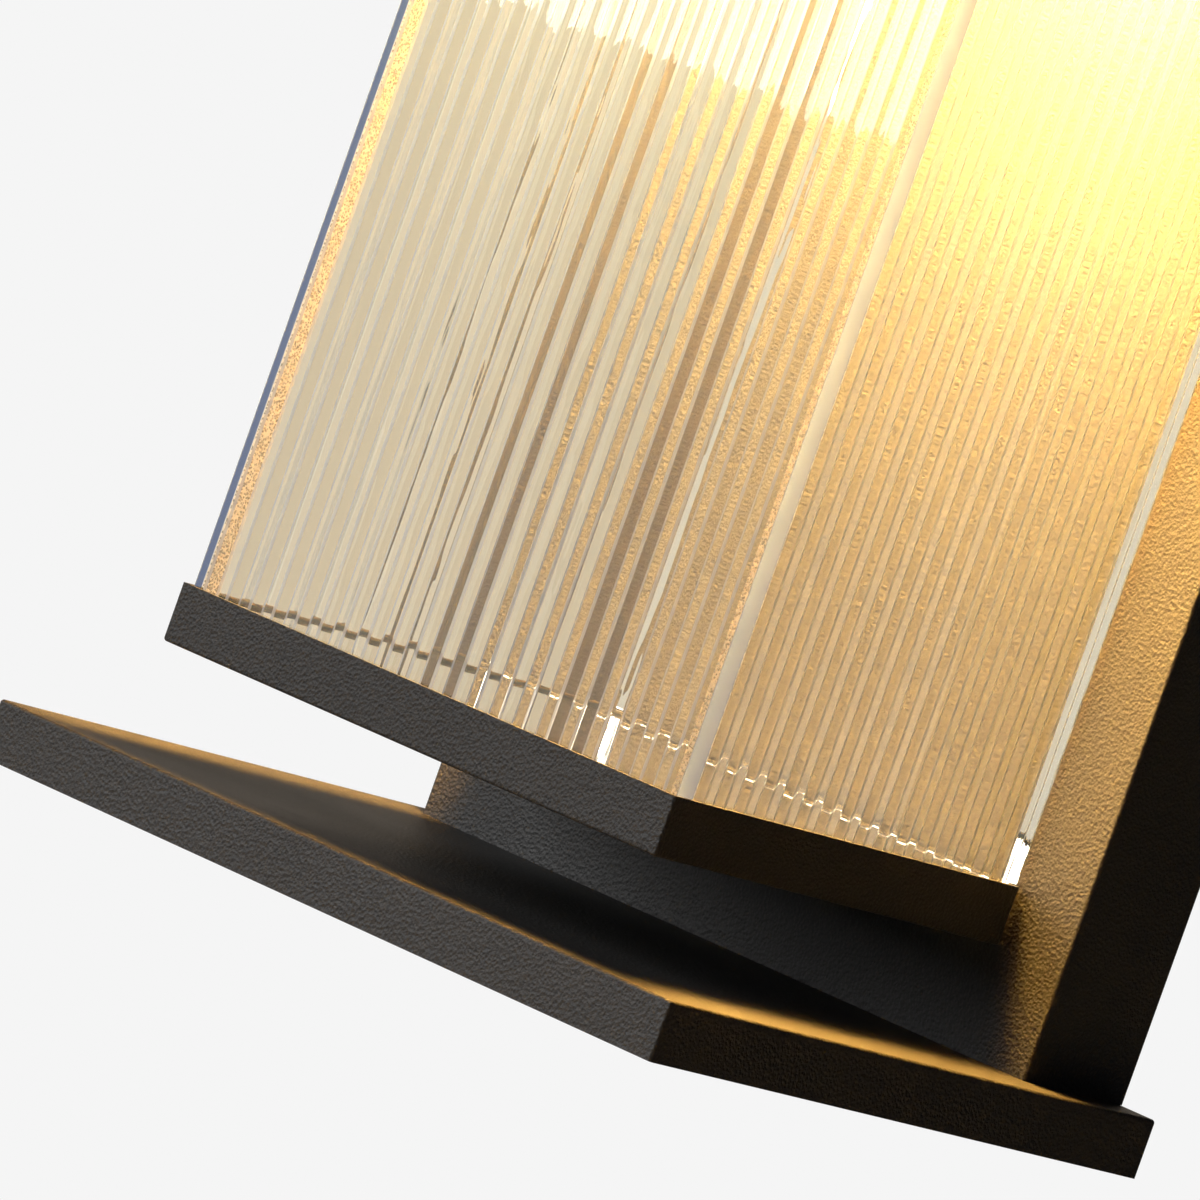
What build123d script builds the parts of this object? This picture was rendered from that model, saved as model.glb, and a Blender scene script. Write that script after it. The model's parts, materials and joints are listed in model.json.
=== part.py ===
from build123d import *
import math
import os

# Outdoor wall lamp: a reeded glass shade held between two flat plates on a slim back box.
# Millimetres. The wall is the plane y = 0, the front is towards -Y, up is +Z.
# The origin is the centre of the wall bracket's back face.

# Overall sizes
lamp_height = 350.0
plate_width = 160.0
plate_depth = 120.0
plate_height = 10.0
edge_round = 0.6

# Folded sheet
pan_sheet = 1.5
box_sheet = 2.0
bracket_sheet = 2.0
arm_sheet = 2.0

# Back box
box_width = 144.0
box_depth = 25.0
flange_depth = 19.0
flange_side_gap = 1.0

# Shade
shade_width = 117.0
shade_depth = 85.0
shade_gap_below = 18.4
shade_gap_behind = 1.1
tray_height = 10.0
tray_floor = 1.5
tray_recess = 0.6
tray_rim = 1.2
glass_rim_gap = 0.1
glass_thickness = 4.0
rib_height = 0.3
front_ribs = 21
side_ribs = 16
tray_bed = 0.3
cap_bed = 2.0
corner_bond = 0.4
corner_bond_margin = 0.5
seal_clearance = 0.3
seal_side_margin = 0.3
seal_end_gap = 0.2

# Rear tongues of the tray and their slots in the back box
tongue_spread = 60.0
tongue_width = 12.0
tongue_thickness = 1.5
tongue_reach = 8.0
tongue_clearance = 0.35

# Lugs of the cap, thumbscrews and rivet nuts
lug_from_side = 22.5
lug_width = 14.0
lug_height = 16.0
lug_thickness = 2.0
thumb_axis_above_cap = 9.0
thumb_shank_radius = 2.0
thumb_shank_length = 16.0
thumb_head_radius = 6.5
thumb_head_length = 7.0
thumb_collar_radius = 3.6
thumb_collar_length = 0.6
thumb_seat_gap = 0.2
knurl_count = 28
knurl_radius = 0.5
running_gap = 0.06
rivet_body_radius = 3.2
rivet_body_length = 11.0
rivet_flange_radius = 4.6
rivet_flange = 0.8

# Covers and posts in the plates
cover_sheet = 1.5
cover_gap = 0.3
bottom_cover_inset = 2.5
post_radius = 4.0
post_from_side = 10.0
post_from_box = 15.0
cover_screw_radius = 1.5
cover_head_radius = 2.8
cover_head_height = 1.8
cover_screw_length = 5.0
plate_screw_radius = 2.0
plate_screw_length = 8.0
screw_end_room = 0.5
plate_head_radius = 3.8
plate_head_height = 2.4
plate_screw_pitch = 50.0
plate_screw_from_wall = 13.5
thread_gap = 0.02
hole_gap = 0.15

# Wall bracket
bracket_width = 120.0
bracket_height = 240.0
ear_height = 24.0
ear_depth = 18.0
slot_pitch_x = 80.0
slot_pitch_z = 160.0
slot_length = 12.0
slot_radius = 2.75
side_screw_radius = 2.0
side_screw_length = 9.0
side_head_radius = 3.8
side_head_height = 2.2
side_screw_from_wall = 11.0
side_nut_flats = 7.0
side_nut_thickness = 3.2

# Cable entry
entry_hole_radius = 9.0
entry_bore_radius = 5.0
entry_lip_radius = 12.0
entry_lip = 2.5

# Terminal block
terminal_width = 30.0
terminal_depth = 14.0
terminal_height = 16.0
terminal_base_z = 32.0
terminal_pitch = 9.5
supply_hole_radius = 1.6
terminal_screw_from_end = 3.6
terminal_screw_radius = 1.6
terminal_screw_head = 2.6
terminal_head_height = 1.6
terminal_fixing_head = 1.85
terminal_fixing_head_height = 1.4
terminal_fixing_sink = 3.0
terminal_screw_sink = 1.2

# Earth screw
earth_x = 26.0
earth_z = 94.0
earth_screw_radius = 2.0
earth_head_radius = 3.8
earth_head_height = 2.6
earth_screw_length = 3.5
earth_washer_radius = 4.5
earth_washer = 0.8
lug_ring_radius = 4.2
lug_ring = 0.8
lug_barrel_radius = 1.7
lug_barrel_length = 7.0
lug_barrel_drop = 5.0
lug_neck_width = 3.0

# Lamp arm and lampholder
arm_width = 34.0
arm_top_below_cap = 6.6
arm_flange_height = 34.0
arm_nose = 17.0
arm_bend_round = 1.8
arm_screw_radius = 2.0
arm_head_radius = 3.6
arm_head_height = 2.2
arm_screw_length = 6.0
arm_screw_pitch_x = 23.0
arm_screw_pitch_z = 20.0
holder_radius = 19.0
holder_mouth_radius = 21.0
holder_height = 44.0
holder_cavity_radius = 14.4
holder_cavity_depth = 25.5
holder_round = 3.0
holder_mouth_height = 12.0
shell_thickness = 0.8
shell_length = 20.0
holder_screw_pitch = 20.0
holder_screw_radius = 2.0
holder_screw_length = 10.0
holder_contact_radius = 4.0
holder_contact_thickness = 0.9
holder_contact_gap = 0.3
wire_pass_drop = 17.0
wire_hole_radius = 7.0
wire_bore_radius = 4.6
wire_lip_radius = 8.6
wire_lip = 1.2

# Bulb with a wide screw cap
bulb_radius = 30.0
bulb_length = 106.0
bulb_globe_wall = 1.2
globe_join_angle = 35.0
globe_shoulder_bulge = 0.5
bulb_cap_radius = 13.1
bulb_thread_depth = 0.7
bulb_thread_count = 5
bulb_cap_length = 22.0
bulb_insulator_height = 2.6
bulb_insulator_base = 11.0
bulb_contact_radius = 4.6
bulb_contact_height = 1.2
bulb_collar_height = 26.0
bulb_collar_radius = 21.0
bulb_stem_radius = 5.0
bulb_stem_length = 26.0
bulb_led_size = 2.6
bulb_led_height = 22.0
bulb_led_count = 6
bulb_led_from_end = 2.0
bulb_led_thickness = 0.8

# Wires
wire_radius = 1.1
wire_hole_depth = 3.0
wire_side_near = 2.2
wire_side_far = 6.0

# Places worked out from the sizes above
plate_in = lamp_height / 2 - plate_height
shade_bottom = -plate_in + shade_gap_below
shade_top = plate_in - shade_gap_below
tray_top = shade_bottom + tray_height
cap_bottom = shade_top - tray_height
shade_back = -box_depth - shade_gap_behind
shade_front = shade_back - shade_depth
shade_middle_y = shade_back - shade_depth / 2
bed_width = glass_thickness
shade_half = shade_width / 2
lug_spread = shade_width - 2 * lug_from_side
glass_half = shade_half - tray_rim - glass_rim_gap
glass_front_y = shade_front + tray_rim + glass_rim_gap
glass_back_y = shade_back - tray_rim - glass_rim_gap
recess_floor = tray_top - tray_recess
glass_bottom = recess_floor + tray_bed
glass_top = shade_top - tray_floor - cap_bed
glass_height = glass_top - glass_bottom
side_pane_front_y = glass_front_y + glass_thickness + corner_bond
side_pane_length = glass_back_y - side_pane_front_y
box_half = box_width / 2
box_inner_half = box_half - box_sheet
thumb_z = shade_top + thumb_axis_above_cap
arm_top = cap_bottom - arm_top_below_cap
arm_bottom = arm_top - arm_sheet
arm_front_y = shade_middle_y - arm_nose
wire_pass_z = arm_bottom - wire_pass_drop
holder_base = arm_bottom - holder_height
cavity_top = holder_base + holder_cavity_depth
bulb_top = cavity_top - holder_contact_thickness - holder_contact_gap
bulb_bottom = bulb_top - bulb_length
bulb_middle = bulb_bottom + bulb_radius
terminal_top_z = terminal_base_z + terminal_height
terminal_middle_z = terminal_base_z + terminal_height / 2
plate_screw_y = -plate_screw_from_wall
tongue_z = recess_floor - tray_floor / 2


def block(x0, x1, y0, y1, z0, z1):
    """A plain block between two corners."""
    centre = ((x0 + x1) / 2, (y0 + y1) / 2, (z0 + z1) / 2)
    return Pos(*centre) * Box(x1 - x0, y1 - y0, z1 - z0)


def rod(x, y, z0, z1, radius):
    """A round bar along Z."""
    return Pos(x, y, (z0 + z1) / 2) * Cylinder(radius, z1 - z0)


def rod_y(x, z, y0, y1, radius):
    """A round bar along Y."""
    return Pos(x, (y0 + y1) / 2, z) * Rot(90, 0, 0) * Cylinder(radius, y1 - y0)


def rod_x(y, z, x0, x1, radius):
    """A round bar along X."""
    return Pos((x0 + x1) / 2, y, z) * Rot(0, 90, 0) * Cylinder(radius, x1 - x0)


def screw(shank_radius, length, head_radius, head_height):
    """A round-headed screw: head above the plane z = 0, shank below it."""
    head = rod(0, 0, 0, head_height, head_radius)
    rim = head.edges().group_by(Axis.Z)[-1]
    head = fillet(rim, 0.45 * head_height)
    arm = 1.1 * head_radius
    depth = 0.55 * head_height
    slot_width = 0.22 * head_radius
    cross = Box(arm, slot_width, 2 * depth) + Box(slot_width, arm, 2 * depth)
    head -= Pos(0, 0, head_height) * cross
    return head + rod(0, 0, -length, 0, shank_radius)


def at_places(make, positions):
    """The same piece made at several places along X."""
    return [make(x) for x in positions]


def save(name, shape):
    """Write one node; a list becomes a group of separate solids."""
    if isinstance(shape, list):
        shape = Compound(children=shape)
    export_step(shape, f"parts/{name}.step")


# Plates

def post_places():
    """Centres of the posts that take the cover screws."""
    x = plate_width / 2 - post_from_side
    near = -box_depth - post_from_box
    far = -plate_depth + post_from_side
    return [(-x, near), (x, near), (-x, far), (x, far)]


def box_post_places():
    """Centres of the posts that take the screws from the back box."""
    return [(i * plate_screw_pitch, plate_screw_y) for i in (-1, 0, 1)]


def plate_pan(top, post_bottom, from_above):
    """A folded pan, open below, with threaded posts inside."""
    half = plate_width / 2
    pan = block(-half, half, -plate_depth, 0, top - plate_height, top)
    outer = pan.edges().filter_by(Axis.Z) + pan.edges().group_by(Axis.Z)[-1]
    pan = fillet(outer, edge_round)
    inner = half - pan_sheet
    floor = top - pan_sheet
    pan -= block(-inner, inner, -plate_depth + pan_sheet, -pan_sheet, top - plate_height, floor)
    for x, y in post_places():
        pan += rod(x, y, post_bottom, floor, post_radius)
        pan -= rod(x, y, post_bottom, post_bottom + cover_screw_length, cover_screw_radius + thread_gap)
    for x, y in box_post_places():
        pan += rod(x, y, post_bottom, floor, post_radius)
        blind_end = post_bottom + plate_screw_length - box_sheet - cover_sheet + screw_end_room
        end = top if from_above else blind_end
        pan -= rod(x, y, post_bottom, end, plate_screw_radius + thread_gap)
    return pan


def plate_cover(bottom, with_box_holes):
    """The flat sheet that closes a pan from below."""
    half = plate_width / 2 - pan_sheet - cover_gap
    far = -plate_depth + pan_sheet + cover_gap
    cover = block(-half, half, far, -pan_sheet - cover_gap, bottom, bottom + cover_sheet)
    for x, y in post_places():
        cover -= rod(x, y, bottom, bottom + cover_sheet, cover_screw_radius + hole_gap)
    if with_box_holes:
        for x, y in box_post_places():
            cover -= rod(x, y, bottom, bottom + cover_sheet, plate_screw_radius + hole_gap)
    return cover


def bottom_cover_z():
    return -lamp_height / 2 + bottom_cover_inset


def bottom_plate():
    return plate_pan(-plate_in, bottom_cover_z() + cover_sheet, True)


def top_plate():
    return plate_pan(lamp_height / 2, plate_in + cover_sheet, False)


def cover_screws():
    """Eight small screws, heads down, four in each cover."""
    upright = screw(cover_screw_radius, cover_screw_length, cover_head_radius, cover_head_height)
    one = Rot(180, 0, 0) * upright
    found = []
    for z in (bottom_cover_z(), plate_in):
        for x, y in post_places():
            found.append(Pos(x, y, z) * one)
    return found


def plate_screws():
    """Six screws from inside the back box into the posts of both plates."""
    one = screw(plate_screw_radius, plate_screw_length, plate_head_radius, plate_head_height)
    found = []
    for x, y in box_post_places():
        found.append(Pos(x, y, -plate_in + box_sheet) * one)
        found.append(Pos(x, y, plate_in - box_sheet) * Rot(180, 0, 0) * one)
    return found


# Back box

def back_box():
    """A folded box, open towards the wall."""
    box = block(-box_half, box_half, -box_depth, 0, -plate_in, plate_in)
    corners = box.edges().filter_by(Axis.Z).group_by(Axis.Y)[0]
    box = fillet(corners, edge_round)
    box -= block(-box_inner_half, box_inner_half, -box_depth + box_sheet, 0, -plate_in, plate_in)
    flange_half = box_inner_half - flange_side_gap
    flange_back = -box_depth + box_sheet + flange_depth
    flange_front = -box_depth + box_sheet / 2
    for low in (-plate_in, plate_in - box_sheet):
        box += block(-flange_half, flange_half, flange_front, flange_back, low, low + box_sheet)
    for x, y in box_post_places():
        box -= rod(x, y, -plate_in, -plate_in + box_sheet, plate_screw_radius + hole_gap)
        box -= rod(x, y, plate_in - box_sheet, plate_in, plate_screw_radius + hole_gap)
    front_in = -box_depth + box_sheet
    for x in (-tongue_spread / 2, tongue_spread / 2):
        half = tongue_width / 2 + tongue_clearance
        rise = tongue_thickness / 2 + tongue_clearance
        box -= block(x - half, x + half, -box_depth, front_in, tongue_z - rise, tongue_z + rise)
    for x in (-lug_spread / 2, lug_spread / 2):
        box -= rod_y(x, thumb_z, -box_depth, front_in, rivet_body_radius)
    box -= rod_y(0, wire_pass_z, -box_depth, front_in, wire_hole_radius)
    for x, z in arm_screw_places():
        box -= rod_y(x, z, -box_depth, front_in, arm_screw_radius + thread_gap)
    box -= rod_x(-side_screw_from_wall, 0, -box_half, box_half, side_screw_radius + hole_gap)
    return box


def rivet_nuts():
    """Threaded inserts in the back box for the thumbscrews."""
    def make(x):
        body = rod_y(x, thumb_z, -box_depth, -box_depth + rivet_body_length, rivet_body_radius)
        body += rod_y(x, thumb_z, -box_depth - rivet_flange, -box_depth, rivet_flange_radius)
        bore = thumb_shank_radius + running_gap
        end = -box_depth + rivet_body_length
        return body - rod_y(x, thumb_z, -box_depth - rivet_flange, end, bore)
    return at_places(make, (-lug_spread / 2, lug_spread / 2))


# Wall bracket

def slot_y(x, z, y0, y1):
    """A slot along X, cut through along Y."""
    reach = slot_length / 2 - slot_radius
    cut = rod_y(x - reach, z, y0, y1, slot_radius) + rod_y(x + reach, z, y0, y1, slot_radius)
    return cut + block(x - reach, x + reach, y0, y1, z - slot_radius, z + slot_radius)


def wall_bracket():
    """A flat plate on the wall with an ear folded forward on each side."""
    half = bracket_width / 2
    plate = block(-half, half, -bracket_sheet, 0, -bracket_height / 2, bracket_height / 2)
    plate = fillet(plate.edges().filter_by(Axis.Y), 4.0)
    for side in (-1, 1):
        edge = side * box_inner_half
        inner = edge - side * bracket_sheet
        low, high = sorted((side * (half - 5.0), edge))
        plate += block(low, high, -bracket_sheet, 0, -ear_height / 2, ear_height / 2)
        low, high = sorted((inner, edge))
        plate += block(low, high, -ear_depth, 0, -ear_height / 2, ear_height / 2)
    plate -= rod_x(-side_screw_from_wall, 0, -box_inner_half, box_inner_half, side_screw_radius + hole_gap)
    for x in (-slot_pitch_x / 2, slot_pitch_x / 2):
        for z in (-slot_pitch_z / 2, slot_pitch_z / 2):
            plate -= slot_y(x, z, -bracket_sheet, 0)
    plate -= rod_y(0, 0, -bracket_sheet, 0, entry_hole_radius)
    plate -= rod_y(earth_x, earth_z, -bracket_sheet, 0, earth_screw_radius + thread_gap)
    for x in terminal_fixing_x():
        plate -= rod_y(x, terminal_middle_z, -bracket_sheet, 0, terminal_screw_radius + thread_gap)
    return plate


def side_screws():
    """One screw through each side of the back box into the bracket's ear."""
    one = screw(side_screw_radius, side_screw_length, side_head_radius, side_head_height)
    right = Pos(box_half, -side_screw_from_wall, 0) * Rot(0, 90, 0) * one
    left = Pos(-box_half, -side_screw_from_wall, 0) * Rot(0, -90, 0) * one
    return [left, right]


def side_nuts():
    """Hexagon nuts welded inside the ears."""
    inner = box_inner_half - bracket_sheet
    def make(side):
        shape = extrude(RegularPolygon(side_nut_flats / 2, 6, major_radius=False), side_nut_thickness)
        shape -= rod(0, 0, 0, side_nut_thickness, side_screw_radius + thread_gap)
        return Pos(side * inner, -side_screw_from_wall, 0) * Rot(0, -90 * side, 0) * shape
    return at_places(make, (-1, 1))


def ring_y(x, z, y0, y1, outer, inner):
    """A flat ring across Y."""
    return rod_y(x, z, y0, y1, outer) - rod_y(x, z, y0, y1, inner)


def entry_grommet():
    """The rubber ring that the supply cable passes through."""
    ring = rod_y(0, 0, -bracket_sheet, 0, entry_hole_radius)
    ring += rod_y(0, 0, -bracket_sheet - entry_lip, -bracket_sheet, entry_lip_radius)
    return ring - rod_y(0, 0, -bracket_sheet - entry_lip, 0, entry_bore_radius)


# Terminal block

def terminal_fixing_x():
    return (-terminal_pitch / 2, terminal_pitch / 2)


def pole_x():
    return (-terminal_pitch, 0.0, terminal_pitch)


def terminal_front():
    return -bracket_sheet - terminal_depth


def terminal_block():
    """A three-way moulded connector on the bracket."""
    half = terminal_width / 2
    body = block(-half, half, terminal_front(), -bracket_sheet, terminal_base_z, terminal_top_z)
    body = fillet(body.edges().group_by(Axis.Y)[0], 1.0)
    middle_y = (terminal_front() - bracket_sheet) / 2
    for x in pole_x():
        body -= rod(x, middle_y, terminal_base_z, terminal_base_z + wire_hole_depth, supply_hole_radius)
        body -= rod(x, middle_y, terminal_top_z - wire_hole_depth, terminal_top_z, wire_radius)
        for z in terminal_screw_z():
            body -= rod_y(x, z, terminal_front(), middle_y - wire_radius, terminal_screw_head)
    seat = terminal_front() + terminal_fixing_sink
    for x in terminal_fixing_x():
        body -= rod_y(x, terminal_middle_z, seat, -bracket_sheet, terminal_screw_radius + hole_gap)
        body -= rod_y(x, terminal_middle_z, terminal_front(), seat, terminal_fixing_head)
    return body


def terminal_screw_z():
    return (terminal_base_z + terminal_screw_from_end, terminal_top_z - terminal_screw_from_end)


def terminal_screws():
    """Six clamping screws, each filling its well down to the clamp."""
    seat = terminal_front() + terminal_screw_sink + terminal_head_height
    length = wire_start(0)[1] - wire_radius - seat
    one = screw(terminal_screw_radius, length, terminal_screw_head, terminal_head_height)
    found = []
    for x in pole_x():
        for z in terminal_screw_z():
            found.append(Pos(x, seat, z) * Rot(90, 0, 0) * one)
    return found


def terminal_fixings():
    """Two slim screws that hold the terminal block to the bracket."""
    length = terminal_depth - terminal_fixing_sink + bracket_sheet - screw_end_room
    one = screw(terminal_screw_radius, length, terminal_fixing_head, terminal_fixing_head_height)
    seat = terminal_front() + terminal_fixing_sink
    return [Pos(x, seat, terminal_middle_z) * Rot(90, 0, 0) * one for x in terminal_fixing_x()]


# Earth connection

def earth_stack_y():
    """Front faces of the washer and the ring terminal."""
    washer_front = -bracket_sheet - earth_washer
    return washer_front, washer_front - lug_ring


def barrel_y():
    """Centre of the ring terminal's barrel, level with the back of the ring."""
    washer_front, _ = earth_stack_y()
    return washer_front - lug_barrel_radius


def earth_washer_ring():
    washer_front, _ = earth_stack_y()
    inner = earth_screw_radius + hole_gap
    return ring_y(earth_x, earth_z, washer_front, -bracket_sheet, earth_washer_radius, inner)


def earth_ring_terminal():
    """A crimped ring with its barrel pointing down."""
    washer_front, lug_front = earth_stack_y()
    ring = rod_y(earth_x, earth_z, lug_front, washer_front, lug_ring_radius)
    barrel_top = earth_z - lug_barrel_drop
    low = barrel_top - lug_barrel_length
    half = lug_neck_width / 2
    ring += block(earth_x - half, earth_x + half, lug_front, washer_front, low, earth_z)
    ring += rod(earth_x, barrel_y(), low, barrel_top, lug_barrel_radius)
    return ring - rod_y(earth_x, earth_z, lug_front, washer_front, earth_screw_radius + hole_gap)


def earth_screw():
    _, lug_front = earth_stack_y()
    one = screw(earth_screw_radius, earth_screw_length, earth_head_radius, earth_head_height)
    return Pos(earth_x, lug_front, earth_z) * Rot(90, 0, 0) * one


# Lamp arm and lampholder

def arm_screw_places():
    """Screw centres in the arm's flange, around the wire hole."""
    half_x = arm_screw_pitch_x / 2
    half_z = arm_screw_pitch_z / 2
    return [(sx * half_x, wire_pass_z + sz * half_z) for sx in (-1, 1) for sz in (-1, 1)]


def holder_screw_places():
    half = holder_screw_pitch / 2
    return [(-half, shade_middle_y), (half, shade_middle_y)]


def lamp_arm():
    """A folded strip: a flange on the back box and a shelf over the lampholder."""
    half = arm_width / 2
    flange_front = -box_depth - arm_sheet
    arm = block(-half, half, flange_front, -box_depth, arm_top - arm_flange_height, arm_top)
    arm += block(-half, half, arm_front_y, -box_depth, arm_bottom, arm_top)
    outer = arm.edges().filter_by(Axis.X).group_by(Axis.Z)[-1].sort_by(Axis.Y)[-1]
    arm = fillet(outer, arm_bend_round)
    arm = fillet(arm.edges().filter_by(Axis.Z).group_by(Axis.Y)[0], 6.0)
    arm -= rod_y(0, wire_pass_z, flange_front, -box_depth, wire_hole_radius)
    for x, z in arm_screw_places():
        arm -= rod_y(x, z, flange_front, -box_depth, arm_screw_radius + hole_gap)
    for x, y in holder_screw_places():
        arm -= rod(x, y, arm_bottom, arm_top, holder_screw_radius + hole_gap)
    return arm


def arm_screws():
    """Four screws through the arm's flange into the back box."""
    one = screw(arm_screw_radius, arm_screw_length, arm_head_radius, arm_head_height)
    seat = -box_depth - arm_sheet
    return [Pos(x, seat, z) * Rot(90, 0, 0) * one for x, z in arm_screw_places()]


def wire_grommet():
    """The rubber ring that carries the lamp wires through the arm and the back box."""
    front = -box_depth - arm_sheet
    back = -box_depth + box_sheet
    ring = rod_y(0, wire_pass_z, front, back, wire_hole_radius)
    ring += rod_y(0, wire_pass_z, front - wire_lip, front, wire_lip_radius)
    ring += rod_y(0, wire_pass_z, back, back + wire_lip, wire_lip_radius)
    return ring - rod_y(0, wire_pass_z, front - wire_lip, back + wire_lip, wire_bore_radius)


def lampholder():
    """The moulded holder, open below, with a wider mouth."""
    y = shade_middle_y
    body = rod(0, y, holder_base, arm_bottom, holder_radius)
    body += rod(0, y, holder_base, holder_base + holder_mouth_height, holder_mouth_radius)
    body = fillet(body.edges().group_by(Axis.Z)[-1], holder_round)
    body = fillet(body.edges().group_by(Axis.Z)[0], 1.0)
    body -= rod(0, y, holder_base, cavity_top, holder_cavity_radius)
    screw_tip = arm_top - holder_screw_length
    for x, y in holder_screw_places():
        body -= rod(x, y, screw_tip, arm_bottom, holder_screw_radius + thread_gap)
    for x, y, z in (live_route()[-1], neutral_route()[-1]):
        body -= rod_y(x, z, y, y + holder_radius, wire_radius + thread_gap)
    return body


def holder_screws():
    one = screw(holder_screw_radius, holder_screw_length, arm_head_radius, arm_head_height)
    return [Pos(x, y, arm_top) * one for x, y in holder_screw_places()]


def holder_shell():
    """The threaded metal sleeve that takes the bulb's cap."""
    y = shade_middle_y
    outer = rod(0, y, cavity_top - shell_length, cavity_top, holder_cavity_radius)
    return outer - rod(0, y, cavity_top - shell_length, cavity_top, holder_cavity_radius - shell_thickness)


def holder_contact():
    """The centre contact at the top of the holder's cavity."""
    low = cavity_top - holder_contact_thickness
    return rod(0, shade_middle_y, low, cavity_top, holder_contact_radius)


# Wires

def wire_start(pole):
    """Where a wire leaves the top of the terminal block."""
    return (pole_x()[pole], (terminal_front() - bracket_sheet) / 2, terminal_top_z - wire_hole_depth)


def lamp_wire_route(pole, side):
    """From the terminal block up the back box, through the grommet, into the holder."""
    x, y, z = wire_start(pole)
    ahead = shade_middle_y + holder_radius
    near = side * wire_side_near
    far = side * wire_side_far
    return [
        (x, y, z),
        (x, y, z + 18.0),
        (near, y - 0.6, wire_pass_z - 30.0),
        (near, y - 0.6, wire_pass_z - 8.0),
        (near, y - 9.6, wire_pass_z),
        (near, -box_depth - 7.0, wire_pass_z + 0.4),
        (far, ahead + 5.0, wire_pass_z + 3.0),
        (far, ahead - wire_hole_depth, wire_pass_z + 3.0),
    ]


def live_route():
    return lamp_wire_route(0, -1)


def neutral_route():
    return lamp_wire_route(1, 1)


def earth_route():
    x, y, z = wire_start(2)
    end_z = earth_z - lug_barrel_drop - lug_barrel_length
    return [(x, y, z), (x, y, z + 14.0), (earth_x, barrel_y(), end_z - 12.0), (earth_x, barrel_y(), end_z)]


def wire(route):
    """A round wire: straight runs joined by arcs as large as the runs allow."""
    points = [Vector(*p) for p in route]
    runs = [(b - a).length for a, b in zip(points, points[1:])]
    radii = []
    for i in range(1, len(points) - 1):
        turn = (points[i] - points[i - 1]).get_angle(points[i + 1] - points[i])
        half = math.tan(math.radians(turn / 2))
        radii.append(min(60.0, 0.45 * min(runs[i - 1], runs[i]) / half))
    path = FilletPolyline(*route, radius=radii)
    start = Plane(origin=points[0], z_dir=points[1] - points[0])
    tube = sweep(start * Circle(wire_radius), path=path)
    want = math.pi * wire_radius ** 2 * path.length
    print("wire radii", [round(r, 1) for r in radii], "volume ratio", round(tube.volume / want, 4))
    return tube


# Shade

def pan_body(low, high, floor_low, floor_high):
    """A frame with the shade's outline round a flat floor."""
    body = block(-shade_half, shade_half, shade_front, shade_back, low, high)
    faces_z = high if floor_high == high else low
    rim = body.edges().filter_by_position(Axis.Z, faces_z - 0.01, faces_z + 0.01)
    body = fillet(body.edges().filter_by(Axis.Z) + rim, edge_round)
    inner = shade_half - tray_rim
    near = shade_front + tray_rim
    far = shade_back - tray_rim
    if floor_high < high:
        body -= block(-inner, inner, near, far, floor_high, high)
    return body - block(-inner, inner, near, far, low, floor_low)


def shade_tray():
    """The black tray under the glass, with two tongues behind."""
    tray = pan_body(shade_bottom, tray_top, recess_floor - tray_floor, recess_floor)
    for x in (-tongue_spread / 2, tongue_spread / 2):
        half = tongue_width / 2
        rise = tongue_thickness / 2
        tip = shade_back + tongue_reach
        tray += block(x - half, x + half, shade_back - tray_rim, tip, tongue_z - rise, tongue_z + rise)
    return tray


def shade_cap():
    """The matching cap over the glass, with two upright lugs behind."""
    cap = pan_body(cap_bottom, shade_top, shade_top - tray_floor, shade_top)
    for x in (-lug_spread / 2, lug_spread / 2):
        half = lug_width / 2
        front = shade_back - lug_thickness
        lug = block(x - half, x + half, front, shade_back, shade_top - tray_floor, shade_top + lug_height)
        lug = fillet(lug.edges().filter_by(Axis.Y).group_by(Axis.Z)[-1], 4.0)
        cap += lug
        cap -= rod_y(x, thumb_z, front, shade_back, thumb_shank_radius + running_gap)
    return cap


def ribbed_profile(length, count):
    """A strip seen from its end: flat back at y = glass_thickness, round ribs at y = 0."""
    pitch = length / count
    edges = []
    for i in range(count):
        left = i * pitch
        middle = (left + pitch / 2, 0)
        edges.append(ThreePointArc((left, rib_height), middle, (left + pitch, rib_height)))
    edges.append(Line((length, rib_height), (length, glass_thickness)))
    edges.append(Line((length, glass_thickness), (0, glass_thickness)))
    edges.append(Line((0, glass_thickness), (0, rib_height)))
    return make_face(Wire(edges))


def glass_front():
    """The front pane, as wide as the glass box."""
    pane = extrude(ribbed_profile(2 * glass_half, front_ribs), glass_height)
    return Pos(-glass_half, glass_front_y, glass_bottom) * pane


def glass_side(side):
    """A side pane, ribs outwards, between the front pane and the seal."""
    pane = extrude(ribbed_profile(side_pane_length, side_ribs), glass_height)
    if side > 0:
        return Pos(glass_half, side_pane_front_y, glass_bottom) * Rot(0, 0, 90) * pane
    return Pos(-glass_half, glass_back_y, glass_bottom) * Rot(0, 0, -90) * pane


def glass_bed(low, thickness):
    """A soft strip along three edges of the glass."""
    half = glass_half
    high = low + thickness
    bed = block(-half, half, glass_front_y, glass_front_y + bed_width, low, high)
    for low_x in (-half, half - bed_width):
        bed += block(low_x, low_x + bed_width, glass_front_y, glass_back_y, low, high)
    return bed


def corner_bonds():
    """Clear films between the front pane and the side panes."""
    near = side_pane_front_y - corner_bond
    span = glass_thickness - rib_height - corner_bond_margin
    def make(side):
        outer = side * (glass_half - rib_height)
        low, high = sorted((outer, outer - side * span))
        return block(low, high, near, side_pane_front_y, glass_bottom, glass_top)
    return at_places(make, (-1, 1))


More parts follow.
